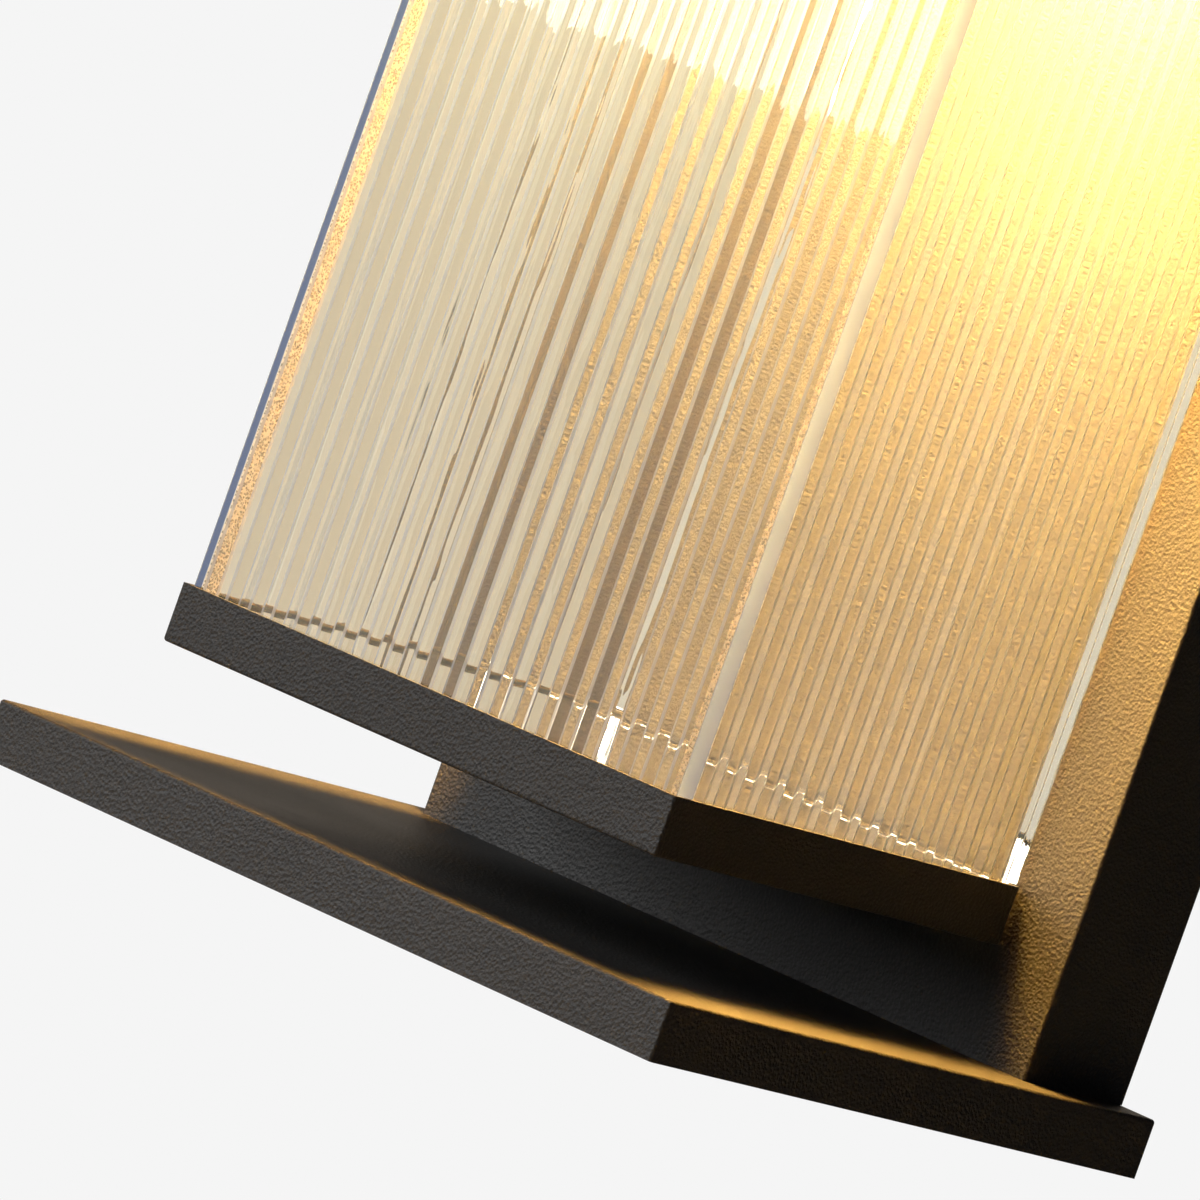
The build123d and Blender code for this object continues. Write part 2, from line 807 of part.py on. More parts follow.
def side_seals():
    """Soft strips on the back edges of the side panes, just clear of the back box."""
    near = glass_back_y
    far = -box_depth - seal_clearance
    width = glass_thickness - 2 * seal_side_margin
    def make(side):
        outer = side * (glass_half - seal_side_margin)
        low, high = sorted((outer, outer - side * width))
        return block(low, high, near, far, tray_top + seal_end_gap, cap_bottom - seal_end_gap)
    return at_places(make, (-1, 1))


def thumbscrew(x):
    """A knurled screw that fastens a lug to the back box."""
    seat = shade_back - lug_thickness - thumb_seat_gap
    knob = Circle(thumb_head_radius) - PolarLocations(thumb_head_radius, knurl_count) * Circle(knurl_radius)
    head = extrude(knob, thumb_head_length - thumb_collar_length)
    head = Pos(0, 0, thumb_collar_length) * head + rod(0, 0, 0, thumb_collar_length, thumb_collar_radius)
    head += rod(0, 0, -thumb_shank_length, 0, thumb_shank_radius)
    slot = Box(1.4, 2 * thumb_head_radius, 2.4)
    head -= Pos(0, 0, thumb_head_length) * slot
    return Pos(x, seat, thumb_z) * Rot(90, 0, 0) * head


# Bulb

def globe_top():
    """Height where the envelope meets the collar."""
    above = bulb_collar_height + bulb_cap_length + bulb_insulator_height + bulb_contact_height
    return bulb_top - above


def globe_profile(shrink):
    """Half outline of the bulb's envelope in the plane of its axis."""
    r = bulb_radius - shrink
    neck = bulb_collar_radius - shrink
    top = globe_top()
    angle = math.radians(globe_join_angle)
    low_angle = angle / 2 - math.pi / 4
    join = (r * math.cos(angle), bulb_middle + r * math.sin(angle))
    low = (r * math.cos(low_angle), bulb_middle + r * math.sin(low_angle))
    bulge = globe_shoulder_bulge
    shoulder = ((join[0] + neck) / 2 + bulge, (join[1] + top) / 2 + bulge)
    outline = [
        Line((0, bulb_bottom + shrink), (0, top)),
        Line((0, top), (neck, top)),
        ThreePointArc((neck, top), shoulder, join),
        ThreePointArc(join, low, (0, bulb_bottom + shrink)),
    ]
    return make_face(Wire(outline))


def around_lamp_axis(face):
    """Turn a half outline, drawn as (radius, height), about the bulb's axis."""
    upright = Plane.XZ * face
    return Pos(0, shade_middle_y, 0) * revolve(upright, Axis.Z)


def bulb_globe():
    """The frosted envelope, open at its neck."""
    shell = around_lamp_axis(globe_profile(0.0)) - around_lamp_axis(globe_profile(bulb_globe_wall))
    top = globe_top()
    mouth = bulb_collar_radius - bulb_globe_wall
    return shell - rod(0, shade_middle_y, top - 2 * bulb_globe_wall, top, mouth)


def bulb_collar():
    """The white base between the envelope and the screw cap."""
    low = globe_top()
    high = low + bulb_collar_height
    outline = [(0, low), (bulb_collar_radius, low), (bulb_cap_radius, high), (0, high)]
    return around_lamp_axis(make_face(Polyline(*outline, close=True)))


def bulb_cap():
    """The screw cap with its rounded threads."""
    low = globe_top() + bulb_collar_height
    core = bulb_cap_radius - bulb_thread_depth
    cap = rod(0, shade_middle_y, low, low + bulb_cap_length, core)
    pitch = bulb_cap_length / (bulb_thread_count + 1)
    for i in range(bulb_thread_count):
        ring = Pos(0, shade_middle_y, low + (i + 1) * pitch) * Torus(core, bulb_thread_depth)
        cap += ring
    return cap


def bulb_insulator():
    low = bulb_top - bulb_contact_height - bulb_insulator_height
    high = low + bulb_insulator_height
    outline = [(0, low), (bulb_insulator_base, low), (bulb_contact_radius, high), (0, high)]
    return around_lamp_axis(make_face(Polyline(*outline, close=True)))


def bulb_contact():
    return rod(0, shade_middle_y, bulb_top - bulb_contact_height, bulb_top, bulb_contact_radius)


def bulb_stem():
    """The post inside the envelope that carries the light strips."""
    return rod(0, shade_middle_y, globe_top() - bulb_stem_length, globe_top(), bulb_stem_radius)


def bulb_leds():
    """Light strips standing round the stem."""
    low = globe_top() - bulb_stem_length + bulb_led_from_end
    high = low + bulb_led_height
    half = bulb_led_size / 2
    found = []
    for i in range(bulb_led_count):
        strip = block(0, bulb_stem_radius + bulb_led_thickness, -half, half, low, high)
        strip -= rod(0, 0, low, high, bulb_stem_radius)
        found.append(Pos(0, shade_middle_y, 0) * Rot(0, 0, i * 360 / bulb_led_count) * strip)
    return found


os.makedirs("parts", exist_ok=True)

save("bottom_plate", bottom_plate())
save("bottom_plate_cover", plate_cover(bottom_cover_z(), False))
save("top_plate", top_plate())
save("top_plate_cover", plate_cover(plate_in, True))
save("cover_screws", cover_screws())
save("plate_screws", plate_screws())
save("back_box", back_box())
save("rivet_nuts", rivet_nuts())
save("wall_bracket", wall_bracket())
save("side_screws", side_screws())
save("side_nuts", side_nuts())
save("entry_grommet", entry_grommet())
save("terminal_block", terminal_block())
save("terminal_screws", terminal_screws())
save("terminal_fixings", terminal_fixings())
save("earth_washer", earth_washer_ring())
save("earth_ring_terminal", earth_ring_terminal())
save("earth_screw", earth_screw())
save("lamp_arm", lamp_arm())
save("arm_screws", arm_screws())
save("wire_grommet", wire_grommet())
save("lampholder", lampholder())
save("holder_screws", holder_screws())
save("holder_shell", holder_shell())
save("holder_contact", holder_contact())
save("live_wire", wire(live_route()))
save("neutral_wire", wire(neutral_route()))
save("earth_wire", wire(earth_route()))
save("shade_tray", shade_tray())
save("shade_cap", shade_cap())
save("glass_front", glass_front())
save("glass_left", glass_side(-1))
save("glass_right", glass_side(1))
save("tray_glass_bed", glass_bed(recess_floor, tray_bed))
save("cap_glass_bed", glass_bed(glass_top, cap_bed))
save("corner_bonds", corner_bonds())
save("side_seals", side_seals())
save("thumbscrew_left", thumbscrew(-lug_spread / 2))
save("thumbscrew_right", thumbscrew(lug_spread / 2))
save("bulb_globe", bulb_globe())
save("bulb_collar", bulb_collar())
save("bulb_cap", bulb_cap())
save("bulb_insulator", bulb_insulator())
save("bulb_contact", bulb_contact())
save("bulb_stem", bulb_stem())
save("bulb_leds", bulb_leds())
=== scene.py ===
# %% [markdown]
# # A wall lamp with a reeded glass shade
# The lamp is two flat black plates on a slim black box, with a glass box held between them.
# Its construction is already there, as closed solids in real sizes. This lesson dresses it:
# the powder coat, the ribbed panes that bend what lies behind them, and the warm bulb.
# The solids come in first and are never moved. Everything new is placed from their own boxes,
# so each new piece sits where the real one would.

# %% Load the solids
import json
import math
import bmesh
import bpy
from mathutils import Matrix, Vector


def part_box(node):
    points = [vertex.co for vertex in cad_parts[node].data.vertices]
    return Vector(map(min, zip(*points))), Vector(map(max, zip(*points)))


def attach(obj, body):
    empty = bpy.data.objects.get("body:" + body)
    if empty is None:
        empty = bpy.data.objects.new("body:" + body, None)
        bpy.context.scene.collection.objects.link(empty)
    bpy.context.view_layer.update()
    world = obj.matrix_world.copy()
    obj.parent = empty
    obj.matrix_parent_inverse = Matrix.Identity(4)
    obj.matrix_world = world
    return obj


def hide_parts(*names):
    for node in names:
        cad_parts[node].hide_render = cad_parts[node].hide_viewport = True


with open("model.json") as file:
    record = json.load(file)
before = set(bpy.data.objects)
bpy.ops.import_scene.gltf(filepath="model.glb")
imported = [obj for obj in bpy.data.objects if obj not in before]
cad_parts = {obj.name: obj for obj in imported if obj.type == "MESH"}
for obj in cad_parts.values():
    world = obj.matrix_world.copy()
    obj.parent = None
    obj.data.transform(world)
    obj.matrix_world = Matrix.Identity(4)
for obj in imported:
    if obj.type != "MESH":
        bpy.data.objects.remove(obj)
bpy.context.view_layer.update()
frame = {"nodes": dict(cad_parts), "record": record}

# %% [markdown]
# ## The camera
# The photograph is taken from far away with a long lens, from the right and a little above, and
# the camera is rolled so that the lamp leans to the right. A camera on an orbit round a target is
# the plainest way to repeat that: an azimuth, an elevation, a roll, a distance and a lens.
# The numbers come from lining up the lamp's straight edges with those in the photograph.

# %% Place the camera
camera_target = Vector((-0.00529, -0.07348, -0.11621))
camera_azimuth = math.radians(42.6835)
camera_elevation = math.radians(3.5922)
camera_roll = math.radians(19.5956)
camera_distance = 2.0304
camera_lens = 378.48
sensor_width = 36.0


def orbit_matrix(target, azimuth, elevation, roll, distance):
    """A camera matrix on an orbit round a target, rolled about its own axis."""
    away = Vector((
        math.sin(azimuth) * math.cos(elevation),
        -math.cos(azimuth) * math.cos(elevation),
        math.sin(elevation),
    ))
    right = Vector((0, 0, 1)).cross(away).normalized()
    up = away.cross(right)
    turned = Matrix((right, up, away)).transposed().to_4x4()
    place = Matrix.Translation(target + away * distance)
    return place @ turned @ Matrix.Rotation(roll, 4, "Z")


camera_data = bpy.data.cameras.new("Camera")
camera_data.lens = camera_lens
camera_data.sensor_width = sensor_width
camera_data.clip_end = 100.0
camera = bpy.data.objects.new("Camera", camera_data)
camera.matrix_world = orbit_matrix(
    camera_target, camera_azimuth, camera_elevation, camera_roll, camera_distance
)
bpy.context.collection.objects.link(camera)
bpy.context.scene.camera = camera
print("camera at", [round(v, 4) for v in camera.location])

# %% [markdown]
# ## Light and backdrop
# The lamp was photographed before plain white with one large soft light at the front left, so its
# front faces are dark grey and its right-hand faces nearly black. White all round would light both
# alike. The world is therefore white where the camera looks straight at it, or sees it through the
# glass or mirrored sharply in it, and dim where a surface gathers light from it. The view is left
# without a film curve, so that the white stays white. A second, wide and warm light stands behind
# the lamp on the left. It lays a soft brown sheen on the bottom plate.

# %% Make the world
backdrop_white = (0.913, 0.913, 0.913, 1.0)
room_grey = (0.021, 0.021, 0.022, 1.0)


def build_world():
    """White to look at, dim to be lit by."""
    world = bpy.data.worlds.new("Studio")
    world.use_nodes = True
    tree = world.node_tree
    tree.nodes.clear()
    output = tree.nodes.new("ShaderNodeOutputWorld")
    mix = tree.nodes.new("ShaderNodeMixShader")
    path = tree.nodes.new("ShaderNodeLightPath")
    seen = tree.nodes.new("ShaderNodeMath")
    seen.operation = "MAXIMUM"
    sharp = tree.nodes.new("ShaderNodeMath")
    sharp.operation = "MAXIMUM"
    room = tree.nodes.new("ShaderNodeBackground")
    room.inputs["Color"].default_value = room_grey
    backdrop = tree.nodes.new("ShaderNodeBackground")
    backdrop.inputs["Color"].default_value = backdrop_white
    tree.links.new(path.outputs["Is Singular Ray"], sharp.inputs[0])
    tree.links.new(path.outputs["Is Transmission Ray"], sharp.inputs[1])
    tree.links.new(path.outputs["Is Camera Ray"], seen.inputs[0])
    tree.links.new(sharp.outputs["Value"], seen.inputs[1])
    tree.links.new(seen.outputs["Value"], mix.inputs["Fac"])
    tree.links.new(room.outputs["Background"], mix.inputs[1])
    tree.links.new(backdrop.outputs["Background"], mix.inputs[2])
    tree.links.new(mix.outputs["Shader"], output.inputs["Surface"])
    bpy.context.scene.world = world


build_world()
bpy.context.scene.view_settings.view_transform = "Standard"
print("world: backdrop", backdrop_white[0], "room", room_grey[0])

# %% Hang the soft lights
key_size = (0.6, 1.3)
key_place = Vector((-1.35, -1.55, 0.55))
key_power = 27.0
sheen_size = (3.2, 2.2)
sheen_place = Vector((-2.2, 2.4, 0.2))
sheen_power = 16.0
light_aim = Vector((0, -0.06, -0.03))


def soft_light(name, place, size, power, colour):
    """A rectangular area light that looks at the lamp."""
    data = bpy.data.lights.new(name, "AREA")
    data.shape = "RECTANGLE"
    data.size, data.size_y = size
    data.energy = power
    data.color = colour
    light = bpy.data.objects.new(name, data)
    facing = (light_aim - place).to_track_quat("-Z", "Y")
    light.matrix_world = Matrix.Translation(place) @ facing.to_matrix().to_4x4()
    bpy.context.collection.objects.link(light)
    return light


soft_light("Key light", key_place, key_size, key_power, (1.0, 1.0, 1.0))
sheen = soft_light("Sheen light", sheen_place, sheen_size, sheen_power, (1.0, 0.84, 0.66))
sheen.visible_camera = False
sheen.visible_transmission = False
print("key light at", list(key_place), "sheen light at", list(sheen_place))

# %% [markdown]
# ## The floor
# The lamp hangs on a wall, so nothing stands under it. A plain pale disc well below it grounds the
# other views. It ends before it would enter the photograph's view, where the backdrop is plain.

# %% Lay the floor
floor_radius = 1.15
floor_height = -0.42


def floor_paint():
    """Pale paint that looks lit to the camera and throws little light back at the lamp."""
    material = bpy.data.materials.new("Floor paint")
    material.use_nodes = True
    tree = material.node_tree
    shader = tree.nodes["Principled BSDF"]
    shader.inputs["Base Color"].default_value = (0.4, 0.42, 0.46, 1)
    shader.inputs["Roughness"].default_value = 0.9
    glow = tree.nodes.new("ShaderNodeEmission")
    glow.inputs["Color"].default_value = (0.78, 0.78, 0.77, 1)
    both = tree.nodes.new("ShaderNodeAddShader")
    tree.links.new(shader.outputs["BSDF"], both.inputs[0])
    tree.links.new(glow.outputs["Emission"], both.inputs[1])
    pick = tree.nodes.new("ShaderNodeMixShader")
    path = tree.nodes.new("ShaderNodeLightPath")
    tree.links.new(path.outputs["Is Camera Ray"], pick.inputs["Fac"])
    tree.links.new(shader.outputs["BSDF"], pick.inputs[1])
    tree.links.new(both.outputs["Shader"], pick.inputs[2])
    tree.links.new(pick.outputs["Shader"], tree.nodes["Material Output"].inputs["Surface"])
    return material


def add_floor():
    """A round pale floor."""
    bm = bmesh.new()
    bmesh.ops.create_circle(bm, cap_ends=True, segments=96, radius=floor_radius)
    bmesh.ops.translate(bm, verts=bm.verts, vec=(0, 0, floor_height))
    mesh = bpy.data.meshes.new("Floor")
    bm.to_mesh(mesh)
    bm.free()
    floor = bpy.data.objects.new("Floor", mesh)
    bpy.context.collection.objects.link(floor)
    mesh.materials.append(floor_paint())


add_floor()
print("floor radius", floor_radius, "at height", floor_height)

# %% [markdown]
# ## Helpers for materials
# Every finish here is a small network of nodes. A few helpers keep the cells short: one starts a
# material and returns its tree and its Principled shader, one adds a node with its settings, and
# the others mix two values or colours with a mask, raise a bump or place a shared group.
# Patterns read Object coordinates, so their scale is in metres and they stay on the piece.

# %% Material helpers
materials = {}


def start_material(slot):
    """A new material for a slot of the record, with its tree and its main shader."""
    material = bpy.data.materials.new(slot)
    material.use_nodes = True
    tree = material.node_tree
    materials[slot] = material
    return tree, tree.nodes["Principled BSDF"]


def add_node(tree, kind, settings=None, **values):
    """A node with its properties in settings and its socket values as keywords."""
    new = tree.nodes.new(kind)
    for name, value in (settings or {}).items():
        setattr(new, name, value)
    for name, value in values.items():
        new.inputs[name.replace("_", " ")].default_value = value
    return new


def object_coordinates(tree):
    """The point on the piece in metres."""
    return tree.nodes.new("ShaderNodeTexCoord").outputs["Object"]


def colour_between(tree, factor, first, second):
    """A colour that goes from first to second with a mask."""
    mix = tree.nodes.new("ShaderNodeMix")
    mix.data_type = "RGBA"
    mix.inputs["A"].default_value = (*first, 1)
    mix.inputs["B"].default_value = (*second, 1)
    tree.links.new(factor, mix.inputs["Factor"])
    return mix.outputs["Result"]


def value_between(tree, factor, low, high):
    """A number that goes from low to high with a mask."""
    stretch = add_node(tree, "ShaderNodeMapRange", To_Min=low, To_Max=high)
    tree.links.new(factor, stretch.inputs["Value"])
    return stretch.outputs["Result"]


def bump_from(tree, height, shader, strength, distance):
    """Raises the surface by a height pattern."""
    bump = add_node(tree, "ShaderNodeBump", Strength=strength, Distance=distance)
    tree.links.new(height, bump.inputs["Height"])
    tree.links.new(bump.outputs["Normal"], shader.inputs["Normal"])


def use_group(tree, group, **values):
    """Places a shared node group and sets its inputs."""
    new = tree.nodes.new("ShaderNodeGroup")
    new.node_tree = group
    for name, value in values.items():
        new.inputs[name].default_value = value
    tree.links.new(object_coordinates(tree), new.inputs["Vector"])
    return new


print("material helpers ready")

# %% [markdown]
# ## Grain: one group for coat, rubber and moulded plastic
# Powder coat, rubber and moulded plastic share a skin of small soft bumps, only at other sizes.
# A node group with a scale makes it once. It mixes rounded cells with a finer noise for the height,
# and gives a second slow noise as a mask for faint patches of tone.

# %% Build the grain group


def build_grain_group():
    """Bumps of a chosen size and a slow mask for patches."""
    group = bpy.data.node_groups.new("Skin grain", "ShaderNodeTree")
    face = group.interface
    face.new_socket("Vector", in_out="INPUT", socket_type="NodeSocketVector")
    scale = face.new_socket("Scale", in_out="INPUT", socket_type="NodeSocketFloat")
    scale.default_value = 1500.0
    patches = face.new_socket("Patches", in_out="INPUT", socket_type="NodeSocketFloat")
    patches.default_value = 30.0
    face.new_socket("Height", in_out="OUTPUT", socket_type="NodeSocketFloat")
    face.new_socket("Speckle", in_out="OUTPUT", socket_type="NodeSocketFloat")
    face.new_socket("Patch", in_out="OUTPUT", socket_type="NodeSocketFloat")
    start = group.nodes.new("NodeGroupInput")
    end = group.nodes.new("NodeGroupOutput")
    cells = add_node(group, "ShaderNodeTexVoronoi", {"feature": "SMOOTH_F1"}, Smoothness=0.6)
    fine = add_node(group, "ShaderNodeTexNoise", Detail=3.0, Roughness=0.6)
    slow = add_node(group, "ShaderNodeTexNoise", Detail=4.0, Roughness=0.55)
    double = add_node(group, "ShaderNodeMath", {"operation": "MULTIPLY"})
    double.inputs[1].default_value = 1.7
    blend = add_node(group, "ShaderNodeMix", Factor=0.45)
    links = group.links
    for texture in (cells, fine, slow):
        links.new(start.outputs["Vector"], texture.inputs["Vector"])
    links.new(start.outputs["Scale"], cells.inputs["Scale"])
    links.new(start.outputs["Scale"], double.inputs[0])
    links.new(double.outputs["Value"], fine.inputs["Scale"])
    links.new(start.outputs["Patches"], slow.inputs["Scale"])
    links.new(cells.outputs["Distance"], blend.inputs["A"])
    links.new(fine.outputs["Fac"], blend.inputs["B"])
    links.new(blend.outputs["Result"], end.inputs["Height"])
    links.new(fine.outputs["Fac"], end.inputs["Speckle"])
    links.new(slow.outputs["Fac"], end.inputs["Patch"])
    return group


grain_group = build_grain_group()
print("group:", grain_group.name)

# %% [markdown]
# ## The black powder coat
# All the sheet metal carries one finish: a black powder coat with a fine leathery grain that
# catches the warm light as a fine sparkle. The grain's cells are about 0.6 mm wide.
# The roughness varies a little with the grain, and slow patches keep large faces from looking flat.

# %% Mix the powder coat
coat_grain_scale = 1600.0
coat_dark = (0.012, 0.0115, 0.011)
coat_light = (0.064, 0.062, 0.06)
coat_bump = 0.0004


def powder_coat(name):
    """Black, finely grained, half matte; returns what a variant needs."""
    tree, shader = start_material(name)
    grain = use_group(tree, grain_group, Scale=coat_grain_scale, Patches=26.0)
    colour = colour_between(tree, grain.outputs["Speckle"], coat_dark, coat_light)
    tree.links.new(colour, shader.inputs["Base Color"])
    rough = value_between(tree, grain.outputs["Patch"], 0.42, 0.6)
    tree.links.new(rough, shader.inputs["Roughness"])
    bump_from(tree, grain.outputs["Height"], shader, 0.8, coat_bump)
    return tree, shader, colour, rough


powder_coat("black_coat")
print("powder coat grain:", round(1000 / coat_grain_scale, 2), "mm a cell")

# %% [markdown]
# ## Steel, brass and screws
# The parts inside are plain metal: zinc-plated sheet with a faint bluish to straw bloom, turned
# steel screws and small brass parts. One recipe serves them: full metal, a slow tint between two
# tones and a fine drawn grain, which is a noise squeezed hard along one axis.

# %% Mix the metals


def drawn_metal(slot, first, second, rough_low, rough_high, stretch):
    """Metal with a slow tint and a fine drawn grain."""
    tree, shader = start_material(slot)
    shader.inputs["Metallic"].default_value = 1.0
    mapping = add_node(tree, "ShaderNodeMapping", Scale=stretch)
    tree.links.new(object_coordinates(tree), mapping.inputs["Vector"])
    lines = add_node(tree, "ShaderNodeTexNoise", Scale=900.0, Detail=3.0)
    tree.links.new(mapping.outputs["Vector"], lines.inputs["Vector"])
    bloom = add_node(tree, "ShaderNodeTexNoise", Scale=45.0, Detail=5.0, Roughness=0.6)
    tree.links.new(object_coordinates(tree), bloom.inputs["Vector"])
    tint = colour_between(tree, bloom.outputs["Fac"], first, second)
    tree.links.new(tint, shader.inputs["Base Color"])
    rough = value_between(tree, lines.outputs["Fac"], rough_low, rough_high)
    tree.links.new(rough, shader.inputs["Roughness"])
    bump_from(tree, lines.outputs["Fac"], shader, 0.25, 0.00003)


drawn_metal("zinc_steel", (0.46, 0.5, 0.56), (0.62, 0.6, 0.53), 0.25, 0.5, (1, 1, 0.06))
drawn_metal("screw_steel", (0.5, 0.5, 0.5), (0.62, 0.61, 0.6), 0.2, 0.42, (1, 0.2, 1))
drawn_metal("black_steel", (0.03, 0.03, 0.032), (0.07, 0.068, 0.066), 0.3, 0.5, (1, 0.1, 1))
drawn_metal("brass", (0.72, 0.5, 0.2), (0.82, 0.62, 0.3), 0.18, 0.42, (1, 1, 0.2))
drawn_metal("bulb_metal", (0.66, 0.67, 0.68), (0.78, 0.78, 0.77), 0.16, 0.36, (1, 1, 0.1))
print("metals:", [name for name in materials if name != "black_coat"])

# %% [markdown]
# ## Rubber and moulded plastic
# Grommets and seals are matte black rubber. The terminal block is ivory plastic, the lampholder
# black phenolic, and the bulb's collar glossy white. All take the grain group at their own size.

# %% Mix rubber and plastics


def moulded(slot, first, second, roughness, scale, strength):
    """Rubber or plastic: two close tones and a fine skin."""
    tree, shader = start_material(slot)
    grain = use_group(tree, grain_group, Scale=scale, Patches=80.0)
    colour = colour_between(tree, grain.outputs["Patch"], first, second)
    tree.links.new(colour, shader.inputs["Base Color"])
    rough = value_between(tree, grain.outputs["Speckle"], roughness - 0.08, roughness + 0.08)
    tree.links.new(rough, shader.inputs["Roughness"])
    bump_from(tree, grain.outputs["Height"], shader, strength, 0.0001)


moulded("rubber", (0.012, 0.012, 0.012), (0.03, 0.029, 0.028), 0.75, 1800.0, 0.4)
moulded("terminal_plastic", (0.72, 0.69, 0.6), (0.8, 0.78, 0.7), 0.45, 2400.0, 0.2)
moulded("holder_plastic", (0.016, 0.016, 0.017), (0.03, 0.03, 0.031), 0.38, 2600.0, 0.15)
moulded("bulb_white", (0.78, 0.77, 0.74), (0.84, 0.83, 0.8), 0.25, 3000.0, 0.08)
moulded("bulb_black", (0.012, 0.012, 0.016), (0.02, 0.02, 0.026), 0.12, 2600.0, 0.05)
moulded("brown_wire", (0.2, 0.075, 0.03), (0.26, 0.1, 0.04), 0.42, 2600.0, 0.1)
moulded("blue_wire", (0.03, 0.11, 0.38), (0.045, 0.15, 0.46), 0.42, 2600.0, 0.1)
print("moulded finishes:", len(materials))

# %% [markdown]
# The earth wire has two colours, green with a yellow stripe down its length. The stripe follows
# the side of the wire, so its mask comes from the direction in which the surface faces.

# %% Mix the earth wire


def striped_wire():
    """Green insulation with a yellow stripe along two sides."""
    tree, shader = start_material("earth_wire")
    facing = add_node(tree, "ShaderNodeSeparateXYZ")
    tree.links.new(tree.nodes.new("ShaderNodeTexCoord").outputs["Normal"], facing.inputs["Vector"])
    soft = {"interpolation_type": "SMOOTHSTEP"}
    stripe = add_node(tree, "ShaderNodeMapRange", soft, From_Min=-0.1, From_Max=0.1)
    tree.links.new(facing.outputs["X"], stripe.inputs["Value"])
    colour = colour_between(tree, stripe.outputs["Result"], (0.05, 0.3, 0.06), (0.75, 0.62, 0.06))
    tree.links.new(colour, shader.inputs["Base Color"])
    shader.inputs["Roughness"].default_value = 0.42


striped_wire()
print("earth wire mixed")

# %% [markdown]
# ## Glass
# The panes are clear, so nearly all that shows in them is what lies behind, bent by the ribs.
# Real glass lets the bulb's light through, but a ray from a lamp would treat it as a wall. The
# usual answer is to let such rays pass straight: for them alone the material is transparent.
# A very low slow bump stands for the small unevenness that rolled glass has. A trace of haze is
# mixed in, as dust and fine flaws in the glass scatter the bulb's light towards the eye.
#
# Three masks add marks to the ribs. One tells a rib's two flanks apart, by the side to which they
# lean,
# and gives them a pale and a deeper tint: painted light and shade, standing in for the gold and
# brown bands that the ribs bend into view. One finds the narrow crests and valleys, which face
# straight out, and turns them into thin white lines: painted highlights, standing in for the key
# light mirrored in them. It counts only where a ray enters from outside, or each line would show
# twice.
# One finds the front pane's two end faces, which are ground. The helpers for masks come first.

# %% Helpers for masks


def feed(tree, socket, value):
    """Links an output to a socket, or sets a constant on it."""
    if isinstance(value, bpy.types.NodeSocket):
        tree.links.new(value, socket)
    else:
        socket.default_value = value


def calculated(tree, operation, first, second=0.0):
    """A number worked out from one or two numbers."""
    new = add_node(tree, "ShaderNodeMath", {"operation": operation})
    feed(tree, new.inputs[0], first)
    feed(tree, new.inputs[1], second)
    return new.outputs["Value"]


def between_mask(tree, value, low, high):
    """One where a value lies between two limits, else zero."""
    above = calculated(tree, "GREATER_THAN", value, low)
    below = calculated(tree, "LESS_THAN", value, high)
    return calculated(tree, "MULTIPLY", above, below)


def parts_of(tree, vector):
    """The X, Y and Z of a vector."""
    new = add_node(tree, "ShaderNodeSeparateXYZ")
    tree.links.new(vector, new.inputs["Vector"])
    return new.outputs


def changed_vector(tree, operation, first, second):
    """A vector calculation with its node."""
    new = add_node(tree, "ShaderNodeVectorMath", {"operation": operation})
    feed(tree, new.inputs[0], first)
    feed(tree, new.inputs[1], second)
    return new.outputs


def mixed_shaders(tree, factor, first, second):
    """A shader that goes from first to second with a mask or a fixed share."""
    mix = tree.nodes.new("ShaderNodeMixShader")
    feed(tree, mix.inputs["Fac"], factor)
    tree.links.new(first, mix.inputs[1])
    tree.links.new(second, mix.inputs[2])
    return mix.outputs["Shader"]


print("mask helpers ready")

# %% Find the flanks, the crests and the ground edges
shade_middle_y = -0.0665
# Painted highlight: faces that lean less than this get the white crest and valley lines.
highlight_reach = 0.085
outer_margin = 0.02
ground_edge_x = 0.05715
ground_edge_y = -0.1057


def ground_edges(tree):
    """A mask for the front pane's two ground end faces."""
    place = parts_of(tree, object_coordinates(tree))
    side = calculated(tree, "ABSOLUTE", place["X"])
    wide = calculated(tree, "GREATER_THAN", side, ground_edge_x)
    front = calculated(tree, "LESS_THAN", place["Y"], ground_edge_y)
    return calculated(tree, "MULTIPLY", wide, front)


def entering_outside(tree, texture):
    """A mask for the shade's outer faces, only where a ray enters them."""
    middle = (0.0, shade_middle_y, 0.0)
    away = changed_vector(tree, "SUBTRACT", texture.outputs["Object"], middle)["Vector"]
    level = changed_vector(tree, "MULTIPLY", away, (1.0, 1.0, 0.0))["Vector"]
    facing = changed_vector(tree, "DOT_PRODUCT", level, texture.outputs["Normal"])["Value"]
    outer = calculated(tree, "GREATER_THAN", facing, outer_margin)
    geometry = tree.nodes.new("ShaderNodeNewGeometry")
    return calculated(tree, "GREATER_THAN", outer, geometry.outputs["Backfacing"])


def rib_masks(tree):
    """Masks for the flank that takes the painted pale tint and for the crests and valleys that take
    painted highlights.
    """
    texture = tree.nodes.new("ShaderNodeTexCoord")
    normal = parts_of(tree, texture.outputs["Normal"])
    slope = calculated(tree, "MULTIPLY", normal["X"], normal["Y"])
    flank = calculated(tree, "GREATER_THAN", slope, 0.0)
    steep = calculated(tree, "ABSOLUTE", slope)
    level = calculated(tree, "LESS_THAN", steep, highlight_reach)
    lines = calculated(tree, "MULTIPLY", level, entering_outside(tree, texture))
    return flank, lines


print("a face is a line where its slope is under", highlight_reach)

# %% Mix the glass
glass_haze = 0.008
haze_colour = (0.22, 0.4, 0.92, 1)
